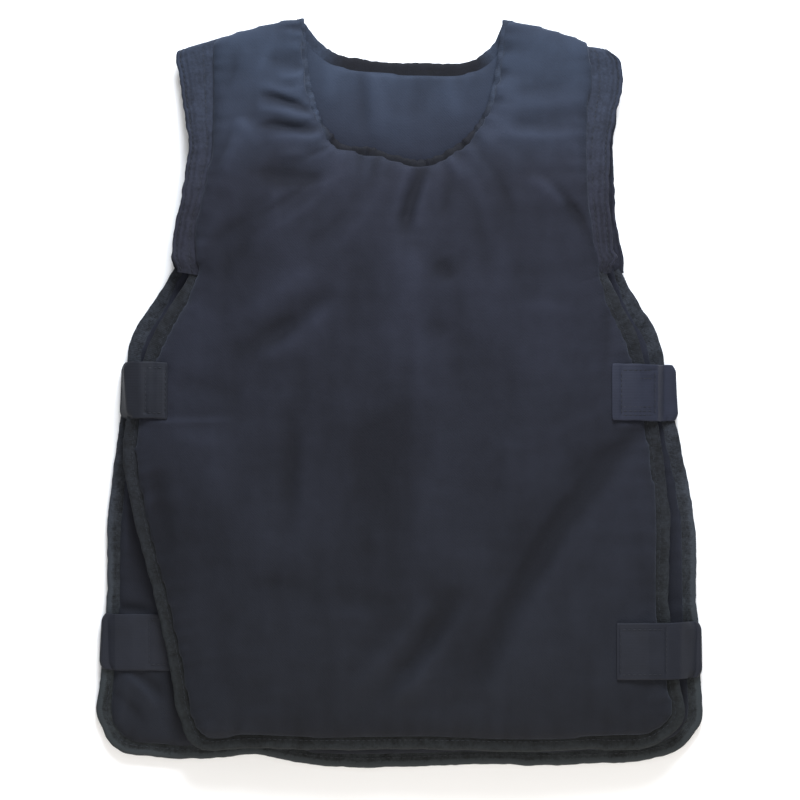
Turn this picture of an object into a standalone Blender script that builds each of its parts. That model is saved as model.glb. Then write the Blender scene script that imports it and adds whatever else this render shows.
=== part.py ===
"""A padded stab vest that lies on its back, with its front up and its neck towards +Y.

Two padded panels meet at the shoulders. A neck binding, two armhole bands and two edge bindings
finish them, and four webbing straps join their sides. Tables and functions work in millimetres,
and make_object turns them into metres.
"""

from collections import namedtuple

import bmesh
import bpy
import numpy as np
from mathutils import Vector
from mathutils.bvhtree import BVHTree
from mathutils.geometry import delaunay_2d_cdt

MM = 0.001
PIECE_GAP = 0.3
UP = np.array((0.0, 0.0, 1.0))
NECKWARD = np.array((0.0, 1.0, 0.0))

# Padding
PAD_THICKNESS = 12.0
EDGE_THICKNESS = 5.0
EDGE_ROUNDING = 20.0

# The back's rim lifts a little off the ground, and more where the shoulders turn over: fully up to
# one distance from the edge, and not at all beyond the other
EDGE_LIFT = 3.0
FULL_LIFT_WITHIN = 60.0
NO_LIFT_BEYOND = 110.0
SHOULDER_TURN = 45.0
EDGE_FALL = PAD_THICKNESS - EDGE_LIFT - EDGE_THICKNESS

# The shoulder line, from the neck out to the arm
SHOULDER_HEIGHT = 317.5
SHOULDER_FALL = 29.0
SHOULDER_CURVE = 1.35
NECK_HALF_WIDTH = 85.0
SHOULDER_HALF_WIDTH = 188.0
SHOULDER_REACH = 1.2

# Bindings, bands and straps
NECK_BINDING_WIDTH = 8.0
NECK_BINDING_TIP = 4.0
EDGE_BINDING_WIDTH = 9.0
EDGE_BINDING_TIP = 3.0
BINDING_TAPER = 30.0
BINDING_HALF_THICKNESS = 2.0
RUFFLE_HEIGHT = 0.7
UNRUFFLED_STATIONS = 2
BAND_TOP_DROPS = {"left": 5.0, "right": 9.0}
TURN_ANGLES = (30.0, 65.0, 90.0, 115.0, 150.0)
TURN_NARROWING = 0.12
STRAP_WIDTH = 48.0
STRAP_THICKNESS = 2.0
STRAP_TAIL = 50.0
STRAP_FLOOR_GAP = 0.2
STRAP_SEAT_GAP = 0.5

# Section of a strip: share of its width from the outer side, and share of its half thickness
STRIP_SECTION = ((0.0, 0.45), (0.25, 1.0), (1.0, 1.0), (1.0, -1.0), (0.25, -1.0), (0.0, -0.45))

# Spacing of the points along each edge and across each face
NECK_STEP = 7.5
ARMHOLE_STEP = 15.0
LOWER_STEP = 15.0
SHOULDER_STEP = 14.0
FRONT_FACE_STEP = 17.0
INNER_FACE_STEP = 28.0
UNDERSIDE_STEP = 34.0
FACE_RINGS = (4.0, 10.0, 19.0)
UNDERSIDE_RINGS = (18.0,)
FOLD_STEP = 15.0
LEAST_SPACING = 7.0
RING_SHARE = 0.9
GRID_SHARE = 0.7
CHORDS_PER_SPAN = 20
FOLD_POINTS = 40
ROUGH_FOLD_POINTS = 12
MERGE_DISTANCE = 1e-5
CREASE_ANGLE = 50.0

# Lines of points across a strap, and the finer probes for the height of what it lies on
STRAP_LINES = 5
PROBE_LINES = 17
PROBE_STEP = 3.0
PROBE_HEIGHT = 200.0

# Sides of both panels at each level, from the underarm down to the hem's corners
Side = namedtuple("Side", "y back_left back_right front_left front_right")
SIDES = (
    Side(104, -191, 188, -173, 174),
    Side(77, -208, 203, -190, 187),
    Side(46, -227, 221, -208, 202),
    Side(0, -234, 230, -225, 214),
    Side(-50, -241, 241, -234, 223),
    Side(-110, -248, 252, -224, 230),
    Side(-180, -249, 254, -206, 229),
    Side(-245, -254, 257, -192, 238),
    Side(-282, -256, 258, -185, 241),
)

# Armholes at each level: outer edges of both panels, and the width of the band inside them
Armhole = namedtuple("Armhole", "y back_left back_right front_left front_right band_left band_right")
ARMHOLES = (
    Armhole(106, -195, 195, -193, 184, 20, 11),
    Armhole(125, -192, 189, -191, 181, 16, 13),
    Armhole(165, -184, 184, -184, 178, 16, 15),
    Armhole(205, -179, 183, -179, 180, 19, 19),
    Armhole(236, -182, 186, -182, 185, 23, 22),
    Armhole(262, -185, 190, -185, 190, 26, 24),
    Armhole(285, -189, 188, -189, 188, 30, 24),
)

# Hems from left to right
Point = namedtuple("Point", "x y")
HEMS = {
    "back": (
        Point(-240, -306), Point(-205, -313), Point(-160, -314), Point(-118, -311),
        Point(-85, -318), Point(60, -319), Point(165, -318.5), Point(212, -315), Point(242, -304),
    ),
    "front": (
        Point(-176, -299), Point(-120, -303), Point(20, -304), Point(160, -304), Point(222, -298),
    ),
}

# Necklines from the right shoulder to the left one
NECKLINES = {
    "back": (
        Point(88, 312), Point(81, 296), Point(67, 284), Point(18, 279.5),
        Point(-33, 283), Point(-52, 287), Point(-67, 297), Point(-80, 313),
    ),
    "front": (
        Point(88, 312), Point(80, 262), Point(73, 238), Point(52, 212), Point(18, 196),
        Point(-8, 202), Point(-26, 207), Point(-47, 210), Point(-64, 229), Point(-72, 252),
        Point(-80, 313),
    ),
}

# How far the front stands off the back, by the distance below the shoulder line: in its middle, and
# at its sides, towards which it falls late
STANDOFF_POWER = 3
Standoff = namedtuple("Standoff", "below middle edge")
STANDOFFS = (
    Standoff(0, 0, 0),
    Standoff(35, 0, 0),
    Standoff(70, 5, 3),
    Standoff(120, 13, 8),
    Standoff(180, 18, 8),
    Standoff(260, 20, 6),
    Standoff(400, 20, 6),
    Standoff(560, 17, 6),
    Standoff(650, 14, 6),
)

# Folds of the front: a ridge has a positive height and a valley a negative one, and the bow is how
# far the middle of the fold lies to the left of its chord
FOLD_FADE = 0.6
Fold = namedtuple("Fold", "start_x start_y end_x end_y bow width height")
FOLDS = (
    Fold(-112, 243, -76, 243, 4, 7, -3.0),
    Fold(-118, 228, -78, 230, 3, 8, 3.0),
    Fold(-110, 218, -76, 218, -3, 7, -3.5),
    Fold(-108, 205, -72, 208, -3, 9, 3.5),
    Fold(-86, 194, -60, 197, -4, 8, -3.5),
    Fold(-131, 232, -152, 186, 2, 9, 3.0),
    Fold(-108, 166, -165, 118, 4, 13, -3.0),
    Fold(-56, 90, -122, 38, 5, 15, -3.0),
    Fold(23, 189, 4, 128, -3, 9, -4.0),
    Fold(12, 122, 8, 60, 0, 14, 2.5),
    Fold(82, 214, 172, 8, 40, 9, -4.0),
    Fold(98, 200, 184, 22, 36, 10, 2.5),
    Fold(68, 228, 160, 234, -5, 10, -3.0),
    Fold(110, 178, 140, 153, 3, 10, 2.5),
    Fold(206, -30, 60, -254, -14, 13, -4.0),
    Fold(52, -166, -22, -262, 5, 13, -3.5),
    Fold(-93, -6, -94, -134, 3, 15, -2.0),
    Fold(-206, -64, -196, -145, 0, 13, -2.5),
)

# Straps: which side, the middle of their width, where their inner end lies, how far the turn round
# the edge stands off, and whether they lie over the front or only over the back's rim
Strap = namedtuple("Strap", "name side y inner_x loop over_front")
STRAPS = (
    Strap("upper_left_strap", -1, 0, -195, 0.0, True),
    Strap("upper_right_strap", 1, -2, 180, 4.0, True),
    Strap("lower_left_strap", -1, -214, -190, 0.0, False),
    Strap("lower_right_strap", 1, -221, 184, 0.0, True),
)

# A strap's way round the rim and back under it: how far each point lies beyond the rim, the share
# of the strap's loop that is added to that, and its height
Turn = namedtuple("Turn", "beyond loop_share height")
STRAP_TURNS = (
    Turn(0.4, 0.7, 9.0),
    Turn(1.7, 1.0, 7.2),
    Turn(1.7, 1.0, 3.6),
    Turn(0.0, 0.3, STRAP_FLOOR_GAP + STRAP_THICKNESS / 2.0),
    Turn(-STRAP_TAIL, 0.0, STRAP_FLOOR_GAP + STRAP_THICKNESS / 2.0),
)

# The rim's sides end here, above the hem's corners
RIM_BOTTOM = -290.0

Look = namedtuple("Look", "colour roughness")
COVER = Look((0.022, 0.026, 0.045, 1.0), 0.85)
LINING = Look((0.028, 0.036, 0.058, 1.0), 0.85)
BAND = Look((0.022, 0.026, 0.045, 1.0), 0.8)
BINDING = Look((0.012, 0.013, 0.018, 1.0), 0.7)
WEBBING = Look((0.020, 0.021, 0.028, 1.0), 0.6)


def clear_scene():
    for obj in list(bpy.data.objects):
        bpy.data.objects.remove(obj, do_unlink=True)


def smoothstep(t):
    t = np.clip(t, 0.0, 1.0)
    return t * t * (3.0 - 2.0 * t)


def lengths_along(curve):
    return np.r_[0.0, np.cumsum(np.linalg.norm(np.diff(curve, axis=0), axis=1))]


def dense_curve(points):
    """A smooth curve through the points, as many short chords."""
    points = np.asarray(points, float)
    at = lengths_along(points)
    slopes = np.gradient(points, at, axis=0)
    pieces = []
    t = np.linspace(0.0, 1.0, CHORDS_PER_SPAN, endpoint=False)[:, None]
    for i, span in enumerate(np.diff(at)):
        pieces.append(
            points[i] * (2 * t**3 - 3 * t**2 + 1)
            + slopes[i] * span * (t**3 - 2 * t**2 + t)
            + points[i + 1] * (3 * t**2 - 2 * t**3)
            + slopes[i + 1] * span * (t**3 - t**2)
        )
    return np.vstack(pieces + [points[-1:]])


def spline(points, step=None, count=None):
    """Evenly spaced points of the smooth curve, about one step apart or as many as asked for."""
    curve = dense_curve(points)
    at = lengths_along(curve)
    count = count or int(round(at[-1] / step)) + 1
    even = np.linspace(0.0, at[-1], count)
    return np.column_stack([np.interp(even, at, curve[:, k]) for k in range(2)])


def left_normals(curve):
    along = np.gradient(curve, axis=0)
    along /= np.linalg.norm(along, axis=1)[:, None]
    return np.column_stack([-along[:, 1], along[:, 0]])


def binding_widths(curve, tip, full):
    """Widths along a binding that narrows to its tip width at both ends."""
    at = lengths_along(curve)
    from_end = np.minimum(at, at[-1] - at)
    return tip + (full - tip) * smoothstep(from_end / BINDING_TAPER)


def column(table, name):
    return np.array([getattr(row, name) for row in table], float)


def shoulder_height(x):
    """Height of the shoulder line above the middle of the vest, at each distance from its axis."""
    reach = (np.abs(x) - NECK_HALF_WIDTH) / (SHOULDER_HALF_WIDTH - NECK_HALF_WIDTH)
    return SHOULDER_HEIGHT - SHOULDER_FALL * np.clip(reach, 0.0, SHOULDER_REACH) ** SHOULDER_CURVE


def edge_distance(points, outline):
    """Distance of each point from the closed outline."""
    span = np.roll(outline, -1, axis=0) - outline
    relative = points[:, None, :] - outline[None, :, :]
    share = np.clip((relative * span).sum(2) / (span * span).sum(1), 0.0, 1.0)
    return np.linalg.norm(relative - share[:, :, None] * span, axis=2).min(axis=1)


def rounding(distance):
    """How full the padding is at each distance from its edge, from 0 to 1."""
    return np.sqrt(1.0 - (1.0 - np.clip(distance / EDGE_ROUNDING, 0.0, 1.0)) ** 2)


def shoulder_share(points):
    """1 on the shoulder line, falling to 0 where the panels have turned over it."""
    below = shoulder_height(points[:, 0]) - points[:, 1]
    return 1.0 - smoothstep(below / SHOULDER_TURN)


def standoff(points):
    """The hollow between the panels, above the back's full thickness."""
    below = shoulder_height(points[:, 0]) - points[:, 1]
    rows = {}
    for name in ("middle", "edge"):
        curve = dense_curve(np.column_stack([column(STANDOFFS, "below"), column(STANDOFFS, name)]))
        rows[name] = np.maximum(np.interp(below, curve[:, 0], curve[:, 1]), 0.0)
    levels = np.r_[column(SIDES, "y")[::-1], column(ARMHOLES, "y")]
    left, right = (
        np.interp(points[:, 1], levels, np.r_[column(SIDES, name)[::-1], column(ARMHOLES, name)])
        for name in ("front_left", "front_right")
    )
    across = np.abs(2.0 * points[:, 0] - left - right) / (right - left)
    fall = np.clip(across, 0.0, 1.0) ** STANDOFF_POWER
    return rows["middle"] + (rows["edge"] - rows["middle"]) * fall


def fold_line(fold, count):
    start = np.array((fold.start_x, fold.start_y), float)
    end = np.array((fold.end_x, fold.end_y), float)
    chord = (end - start) / np.linalg.norm(end - start)
    control = (start + end) / 2.0 + 2.0 * fold.bow * np.array((-chord[1], chord[0]))
    t = np.linspace(0.0, 1.0, count)[:, None]
    return (1 - t) ** 2 * start + 2 * t * (1 - t) * control + t**2 * end


def fold_length(fold):
    return lengths_along(fold_line(fold, ROUGH_FOLD_POINTS))[-1]


def fold_heights(points):
    """Rise of the front's face over its folds, which fade out at both their ends."""
    heights = np.zeros(len(points))
    for fold in FOLDS:
        line = fold_line(fold, FOLD_POINTS)
        away = np.linalg.norm(points[:, None, :] - line[None, :, :], axis=2)
        nearest = away.argmin(axis=1)
        fade = np.sin(np.pi * nearest / (FOLD_POINTS - 1.0)) ** FOLD_FADE
        heights += fold.height * fade * np.exp(-((away.min(axis=1) / fold.width) ** 2))
    return heights


def back_underside(points, distance):
    inward = (distance - FULL_LIFT_WITHIN) / (NO_LIFT_BEYOND - FULL_LIFT_WITHIN)
    lift = EDGE_LIFT * (1.0 - smoothstep(inward))
    return lift + EDGE_FALL * shoulder_share(points) * (1.0 - rounding(distance))


def back_face(points, distance):
    return PAD_THICKNESS - EDGE_FALL * (1.0 - rounding(distance)) * (1.0 - shoulder_share(points))


def front_underside(points, distance):
    return PAD_THICKNESS + PIECE_GAP + standoff(points)


def front_face(points, distance):
    padding = EDGE_THICKNESS + (PAD_THICKNESS - EDGE_THICKNESS) * rounding(distance)
    return front_underside(points, distance) + padding + fold_heights(points) * rounding(distance)


UNDERSIDES = {"front": front_underside, "back": back_underside}
FACES = {"front": front_face, "back": back_face}


def neck_edge(panel):
    """The neckline's outer edge and the padding's edge beside it, from right to left."""
    outer = spline(NECKLINES[panel], step=NECK_STEP)
    widths = binding_widths(outer, NECK_BINDING_TIP, NECK_BINDING_WIDTH)
    return outer, outer + left_normals(outer) * widths[:, None]


def lower_edge(panel):
    """The bound edge and the padding's edge, down the left side, along the hem and up the right."""
    levels = column(SIDES, "y")
    left = np.column_stack([column(SIDES, panel + "_left"), levels])
    right = np.column_stack([column(SIDES, panel + "_right"), levels])[::-1]
    outer = spline(np.vstack([left, HEMS[panel], right]), step=LOWER_STEP)
    widths = binding_widths(outer, EDGE_BINDING_TIP, EDGE_BINDING_WIDTH)
    return outer, outer + left_normals(outer) * widths[:, None]


def armhole_edge(panel, side):
    """The armhole's outer edge and the padding's edge, from the underarm up to the shoulder."""
    inward = 1.0 if side == "left" else -1.0
    levels = column(ARMHOLES, "y")
    outer_x = column(ARMHOLES, panel + "_" + side)
    inner_x = outer_x + inward * column(ARMHOLES, "band_" + side)
    inner_y = levels.copy()
    inner_y[-1] = shoulder_height(inner_x[-1]) - BAND_TOP_DROPS[side]
    count = int(round((levels[-1] - levels[0]) / ARMHOLE_STEP)) + 1
    outer = spline(np.column_stack([outer_x, levels]), count=count)
    return outer, spline(np.column_stack([inner_x, inner_y]), count=count)


def shoulder_edge(start_x, end_x):
    count = int(round(abs(end_x - start_x) / SHOULDER_STEP)) + 1
    x = np.linspace(start_x, end_x, count)
    return np.column_stack([x, shoulder_height(x)])


def pad_outline(panel):
    """The padding's outline, anticlockwise from the left underarm."""
    neck = neck_edge(panel)[1]
    right = armhole_edge(panel, "right")[1]
    left = armhole_edge(panel, "left")[1][::-1]
    return np.vstack([
        lower_edge(panel)[1],
        right,
        shoulder_edge(right[-1, 0], neck[0, 0]),
        neck,
        shoulder_edge(neck[-1, 0], left[0, 0]),
        left,
    ])


def face_points(outline, rings, step, folds):
    """Points inside the outline: along the folds, in rings beside the edge, then in a grid."""
    kept = np.empty((0, 2))
    groups = []
    for fold in folds:
        line = fold_line(fold, max(3, int(round(fold_length(fold) / FOLD_STEP))))
        sides = left_normals(line) * fold.width
        groups.append((np.vstack([line, line + sides, line - sides]), LEAST_SPACING))
    for ring in rings:
        points = outline + left_normals(np.vstack([outline[-1:], outline, outline[:1]]))[1:-1] * ring
        groups.append((points[edge_distance(points, outline) > RING_SHARE * ring], LEAST_SPACING))
    low, high = outline.min(axis=0), outline.max(axis=0)
    rows = np.arange(low[1], high[1], step * np.sqrt(3.0) / 2.0)
    grid = np.array([
        (x + step / 2.0 * (k % 2), y) for k, y in enumerate(rows) for x in np.arange(low[0], high[0], step)
    ])
    groups.append((grid, GRID_SHARE * step))
    for points, spacing in groups:
        points = points[inside(points, outline)]
        points = points[edge_distance(points, outline) > RING_SHARE * rings[0]]
        for point in points:
            if not len(kept) or np.linalg.norm(kept - point, axis=1).min() > spacing:
                kept = np.vstack([kept, point])
    return kept


def inside(points, outline):
    """Which points lie inside the closed outline, by counting the edges crossed to their right."""
    x, y = points[:, None, 0], points[:, None, 1]
    x1, y1 = outline[:, 0], outline[:, 1]
    x2, y2 = np.roll(outline, -1, axis=0).T
    spans = (y1 > y) != (y2 > y)
    rise = np.where(y2 == y1, 1.0, y2 - y1)
    crossing = x1 + (y - y1) * (x2 - x1) / rise
    return (spans & (x < crossing)).sum(axis=1) % 2 == 1


def filled_face(outline, inner, height):
    """Triangles that fill the outline through its inner points, with their heights."""
    count = len(outline)
    flat = np.vstack([outline, inner])
    rim = [(i, (i + 1) % count) for i in range(count)]
    verts, _, triangles, _, _, _ = delaunay_2d_cdt(
        [Vector(p) for p in flat], rim, [list(range(count))], 1, MERGE_DISTANCE
    )
    flat = np.array([tuple(v) for v in verts])
    distance = edge_distance(flat, outline)
    distance[:count] = 0.0
    return np.column_stack([flat, height(flat, distance)]), [tuple(t) for t in triangles]


def panel_mesh(panel, face_step, folds):
    """Points and faces of a padded panel: its face, its underside and the wall between them."""
    outline = pad_outline(panel)
    count = len(outline)
    face, face_triangles = filled_face(
        outline, face_points(outline, FACE_RINGS, face_step, folds), FACES[panel]
    )
    under, under_triangles = filled_face(
        outline, face_points(outline, UNDERSIDE_RINGS, UNDERSIDE_STEP, ()), UNDERSIDES[panel]
    )
    first_under = len(face)
    faces = list(face_triangles)
    faces += [tuple(first_under + i for i in reversed(t)) for t in under_triangles]
    for i in range(count):
        j = (i + 1) % count
        faces.append((i, first_under + i, first_under + j, j))
    return np.vstack([face, under]), faces


def edge_middle(panel, points):
    """Height of the middle of the panel's edge wall at points on that edge."""
    return UNDERSIDES[panel](points, np.zeros(len(points))) + EDGE_THICKNESS / 2.0


def run_stations(panel, outer, inner, upward):
    """Stations of a binding along one panel's edge: its outer side, its inner side and its normal."""
    across = inner - outer
    across /= np.linalg.norm(across, axis=1)[:, None]
    seated = inner - PIECE_GAP * across
    height = edge_middle(panel, inner)
    normal = UP if upward else -UP
    return [
        (np.append(o, h), np.append(s, h), normal) for o, s, h in zip(outer, seated, height)
    ]


def turn_stations(before, after):
    """Stations of the half turn over the shoulder, from one panel's edge to the other's."""
    stations = []
    for angle in np.radians(TURN_ANGLES):
        share = (1.0 - np.cos(angle)) / 2.0
        normal = before[2] * np.cos(angle) + NECKWARD * np.sin(angle)
        reach = abs(before[0][2] - after[0][2]) / 2.0 * np.sin(angle)
        outer, inner = (
            before[k] + (after[k] - before[k]) * share + NECKWARD * reach for k in (0, 1)
        )
        stations.append((outer, inner + (outer - inner) * TURN_NARROWING, normal))
    return stations


def strip_mesh(stations, closed):
    """A strip through its stations, with its outer side rounded."""
    points = []
    for outer, inner, normal in stations:
        for share, side in STRIP_SECTION:
            points.append(outer + (inner - outer) * share + normal * side * BINDING_HALF_THICKNESS)
    size = len(STRIP_SECTION)
    count = len(stations)
    faces = []
    for i in range(count if closed else count - 1):
        a, b = i * size, (i + 1) % count * size
        for k in range(size):
            n = (k + 1) % size
            faces.append((a + k, a + n, b + n, b + k))
    if not closed:
        faces.append(tuple(range(size))[::-1])
        faces.append(tuple((count - 1) * size + k for k in range(size)))
    return np.array(points), faces


def neck_binding_mesh():
    front = run_stations("front", *neck_edge("front"), upward=True)
    for i in range(UNRUFFLED_STATIONS, len(front) - UNRUFFLED_STATIONS):
        outer, inner, normal = front[i]
        rise = UP * RUFFLE_HEIGHT * (-1.0) ** i
        front[i] = (outer + rise, inner + rise, normal)
    back_outer, back_inner = neck_edge("back")
    back = run_stations("back", back_outer[::-1], back_inner[::-1], upward=False)
    left_turn = turn_stations(front[-1], back[0])
    right_turn = turn_stations(back[-1], front[0])
    return strip_mesh(front + left_turn + back + right_turn, closed=True)


def armhole_band_mesh(side):
    front_outer, front_inner = armhole_edge("front", side)
    back_outer, back_inner = armhole_edge("back", side)
    front = run_stations("front", front_outer, front_inner, upward=True)
    back = run_stations("back", back_outer[::-1], back_inner[::-1], upward=False)
    turn = turn_stations(front[-1], back[0])
    return strip_mesh(front + turn + back, closed=False)


def edge_binding_mesh(panel):
    return strip_mesh(run_stations(panel, *lower_edge(panel), upward=True), closed=False)


def tree_of(meshes):
    """One tree for casting rays on several meshes."""
    points, faces, first = [], [], 0
    for mesh_points, mesh_faces in meshes:
        points += [Vector(p) for p in mesh_points]
        faces += [tuple(first + i for i in face) for face in mesh_faces]
        first += len(mesh_points)
    return BVHTree.FromPolygons(points, faces)


def top_height(tree, x, y_values):
    """Height of the highest point under a line across a strap, or the ground off the vest."""
    heights = [0.0]
    for y in y_values:
        hit = tree.ray_cast(Vector((x, y, PROBE_HEIGHT)), Vector((0.0, 0.0, -1.0)))[0]
        if hit is not None:
            heights.append(hit.z)
    return max(heights)


def taut_line(profile):
    """The upper hull of a profile, which is how a pulled strap lies over it."""
    line = []
    for point in profile:
        while len(line) > 1:
            (ax, az), (bx, bz) = line[-2], line[-1]
            if (bx - ax) * (point[1] - az) - (bz - az) * (point[0] - ax) < 0.0:
                break
            line.pop()
        line.append(point)
    return line


def strap_mesh(strap, tree, rim):
    """A strap round the back's rim: over the vest, round the edge and back under it."""
    half = STRAP_THICKNESS / 2.0
    y_values = strap.y + np.linspace(-0.5, 0.5, STRAP_LINES) * STRAP_WIDTH
    rim_at = rim[np.argsort(rim[:, 1])]
    edges = np.abs(np.interp(y_values, rim_at[:, 1], rim_at[:, 0]))
    profile = []
    probes = strap.y + np.linspace(-0.5, 0.5, PROBE_LINES) * STRAP_WIDTH
    for reach in np.arange(abs(strap.inner_x), edges.min(), PROBE_STEP):
        height = max(
            top_height(tree, strap.side * (reach + nudge * PROBE_STEP), probes)
            for nudge in (-0.5, 0.0, 0.5)
        )
        profile.append((reach, height + STRAP_SEAT_GAP + half))
    line = taut_line(profile)
    paths = [
        line + [(edge + turn.beyond + turn.loop_share * strap.loop, turn.height) for turn in STRAP_TURNS]
        for edge in edges
    ]
    return ribbon_mesh(paths, y_values, half, strap.side)


def ribbon_mesh(paths, y_values, half, side):
    """A flat band through paths of (reach, height), one path for each line across its width."""
    points = []
    count = len(paths[0])
    for sign in (1.0, -1.0):
        for path, y in zip(paths, y_values):
            path = np.array(path)
            moved = path + left_normals(path) * half * sign
            points += [(side * reach, y, height) for reach, height in moved]
    layer = len(paths) * count
    faces = []
    for k in range(len(paths) - 1):
        for i in range(count - 1):
            a, b = k * count + i, (k + 1) * count + i
            faces.append((a, a + 1, b + 1, b))
            faces.append((layer + b, layer + b + 1, layer + a + 1, layer + a))
    last = (len(paths) - 1) * count
    for i in range(count - 1):
        faces.append((i, layer + i, layer + i + 1, i + 1))
        faces.append((last + i + 1, layer + last + i + 1, layer + last + i, last + i))
    for k in range(len(paths) - 1):
        a, b = k * count, (k + 1) * count
        faces.append((b, layer + b, layer + a, a))
        faces.append((a + count - 1, layer + a + count - 1, layer + b + count - 1, b + count - 1))
    return np.array(points), faces


def cloth_material(name, look):
    material = bpy.data.materials.new(name)
    material.use_nodes = True
    shader = material.node_tree.nodes["Principled BSDF"]
    shader.inputs["Base Color"].default_value = look.colour
    shader.inputs["Roughness"].default_value = look.roughness
    shader.inputs["Metallic"].default_value = 0.0
    return material


def make_object(name, mesh_data, look, parent):
    """A named object in metres, with its origin at its middle and a material of its own."""
    points, faces = mesh_data
    middle = (points.min(axis=0) + points.max(axis=0)) / 2.0
    mesh = bpy.data.meshes.new(name)
    mesh.from_pydata([tuple(p) for p in (points - middle) * MM], [], faces)
    shape = bmesh.new()
    shape.from_mesh(mesh)
    bmesh.ops.recalc_face_normals(shape, faces=shape.faces)
    shape.to_mesh(mesh)
    shape.free()
    mesh.shade_smooth()
    mesh.set_sharp_from_angle(angle=np.radians(CREASE_ANGLE))
    mesh.materials.append(cloth_material(name, look))
    obj = bpy.data.objects.new(name, mesh)
    obj.location = middle * MM
    obj.parent = parent
    bpy.context.scene.collection.objects.link(obj)
    return obj


def main():
    clear_scene()
    vest = bpy.data.objects.new("stab_vest", None)
    bpy.context.scene.collection.objects.link(vest)

    front = panel_mesh("front", FRONT_FACE_STEP, FOLDS)
    back = panel_mesh("back", INNER_FACE_STEP, ())
    front_binding = edge_binding_mesh("front")
    back_binding = edge_binding_mesh("back")
    pieces = [
        ("front_panel", front, COVER),
        ("back_panel", back, LINING),
        ("neck_binding", neck_binding_mesh(), BINDING),
        ("left_armhole_band", armhole_band_mesh("left"), BAND),
        ("right_armhole_band", armhole_band_mesh("right"), BAND),
        ("front_edge_binding", front_binding, BINDING),
        ("back_edge_binding", back_binding, BINDING),
    ]

    over_back = tree_of((back, back_binding))
    over_front = tree_of((back, back_binding, front, front_binding))
    rim = lower_edge("back")[0]
    for strap in STRAPS:
        tree = over_front if strap.over_front else over_back
        beside = rim[(rim[:, 0] * strap.side > SHOULDER_HALF_WIDTH) & (rim[:, 1] > RIM_BOTTOM)]
        pieces.append((strap.name, strap_mesh(strap, tree, beside), WEBBING))

    corners = np.vstack([mesh_data[0] for _, mesh_data, _ in pieces])
    middle = (corners.min(axis=0) + corners.max(axis=0)) / 2.0
    vest.location = (-middle[0] * MM, -middle[1] * MM, -corners[:, 2].min() * MM)
    for name, mesh_data, look in pieces:
        make_object(name, mesh_data, look, vest)


main()
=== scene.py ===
"""Dresses the frame of a padded stab vest in its cloth, bindings, webbing and stitching.

The vest lies on its back with its neck towards +Y. Tables are in millimetres of the part's own
plan, and everything that is built from them is in metres.
"""

import math
from contextlib import contextmanager
from functools import partial

import bpy
import numpy as np
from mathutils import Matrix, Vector, kdtree, noise
from mathutils.bvhtree import BVHTree


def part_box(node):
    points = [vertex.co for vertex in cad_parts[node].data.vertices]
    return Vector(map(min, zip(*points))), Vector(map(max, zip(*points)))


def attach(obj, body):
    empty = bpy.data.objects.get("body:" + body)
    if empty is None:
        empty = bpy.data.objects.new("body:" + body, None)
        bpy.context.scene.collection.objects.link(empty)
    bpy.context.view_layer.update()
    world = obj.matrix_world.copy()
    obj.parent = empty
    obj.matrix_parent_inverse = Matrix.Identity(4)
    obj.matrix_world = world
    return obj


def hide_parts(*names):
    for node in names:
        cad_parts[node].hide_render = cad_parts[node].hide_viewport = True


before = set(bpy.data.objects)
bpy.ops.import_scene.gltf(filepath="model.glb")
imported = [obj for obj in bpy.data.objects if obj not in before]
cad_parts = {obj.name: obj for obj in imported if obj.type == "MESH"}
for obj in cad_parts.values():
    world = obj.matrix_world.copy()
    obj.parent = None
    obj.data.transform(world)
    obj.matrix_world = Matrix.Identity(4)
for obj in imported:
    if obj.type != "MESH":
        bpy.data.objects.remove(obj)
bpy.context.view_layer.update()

bl_info = {
    "name": "Stab vest",
    "version": (1, 0, 0),
    "blender": (4, 5, 0),
    "location": "View3D > Sidebar > Vest",
    "description": "Dresses the frame of a stab vest in cloth, bindings, webbing and stitching",
    "category": "Object",
}

MM = 0.001
NECKWARD = np.array((0.0, 1.0, 0.0))
UPWARD = (0.0, 0.0, 1.0)
# How far in from its sewn edge a pad is held while it fills, and for how many frames it fills
HELD = 0.006
FILL_FRAMES = 20
# Thickness of the webbing, with the air under it
WEBBING = 0.0025
# How far apart a band texture's bands lie at scale 1, along an axis and in the diagonal
BAND = 0.314
DIAGONAL_BAND = 0.444

# Sides at each level: back's left and right edges, then the front's
SIDES = np.array((
    (104, -191, 188, -173, 174),
    (77, -208, 203, -190, 187),
    (46, -227, 221, -208, 202),
    (0, -234, 230, -225, 214),
    (-50, -241, 241, -234, 223),
    (-110, -248, 252, -224, 230),
    (-180, -249, 254, -206, 229),
    (-245, -254, 257, -192, 238),
    (-282, -256, 258, -185, 241),
), float)

# Armholes at each level: back's left and right edges, the front's, and both bands' widths
ARMHOLES = np.array((
    (106, -195, 195, -193, 184, 20, 11),
    (125, -192, 189, -191, 181, 16, 13),
    (165, -184, 184, -184, 178, 16, 15),
    (205, -179, 183, -179, 180, 19, 19),
    (236, -182, 186, -182, 185, 23, 22),
    (262, -185, 190, -185, 190, 26, 24),
    (285, -189, 188, -189, 188, 30, 24),
), float)

# Hems from left to right, and necklines from the right shoulder to the left one
HEMS = {
    "back": (
        (-240, -306), (-205, -313), (-160, -314), (-118, -311), (-85, -318), (60, -319),
        (165, -318.5), (212, -315), (242, -304),
    ),
    "front": ((-176, -299), (-120, -303), (20, -304), (160, -304), (222, -298)),
}
NECKLINES = {
    "back": (
        (88, 312), (81, 296), (67, 284), (18, 279.5), (-33, 283), (-52, 287), (-67, 297),
        (-80, 313),
    ),
    "front": (
        (88, 312), (80, 262), (73, 238), (52, 212), (18, 196), (-8, 202), (-26, 207), (-47, 210),
        (-64, 229), (-72, 252), (-80, 313),
    ),
}

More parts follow.
